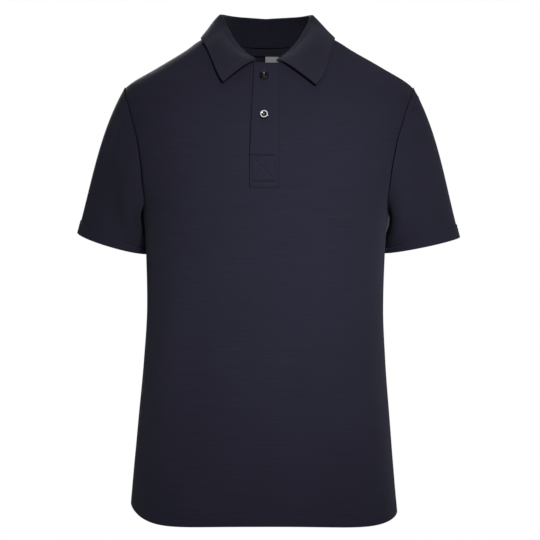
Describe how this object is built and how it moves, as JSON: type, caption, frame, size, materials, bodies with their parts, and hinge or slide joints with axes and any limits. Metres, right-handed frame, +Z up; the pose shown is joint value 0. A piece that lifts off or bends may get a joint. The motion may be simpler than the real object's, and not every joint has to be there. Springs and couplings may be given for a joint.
{
  "type": "polo shirt",
  "caption": "Short-sleeved polo shirt filled out as worn, hollow and open at neck, hem and cuffs, with a folded rib collar and a buttoned placket.",
  "frame": {"origin": "middle of the neck, at the height of the side neck points where the shoulder seams meet the collar", "axes": "+Z up, the front faces -Y, +X towards the wearer's left"},
  "size_m": [0.5725, 0.2391, 0.7357],
  "materials": {
    "pique": "navy pique knit, matt",
    "rib": "navy flat-knitted rib, matt",
    "tape": "navy woven tape",
    "label": "pale grey satin, bare",
    "button": "dark navy, glossy"
  },
  "bodies": {
    "root": {"front": "pique", "back": "pique", "sleeve_right": "pique", "sleeve_left": "pique", "placket_upper": "pique", "placket_under": "pique", "collar": "rib", "neck_tape": "tape", "label": "label", "button_top": "button", "button_low": "button"}
  },
  "joints": []
}
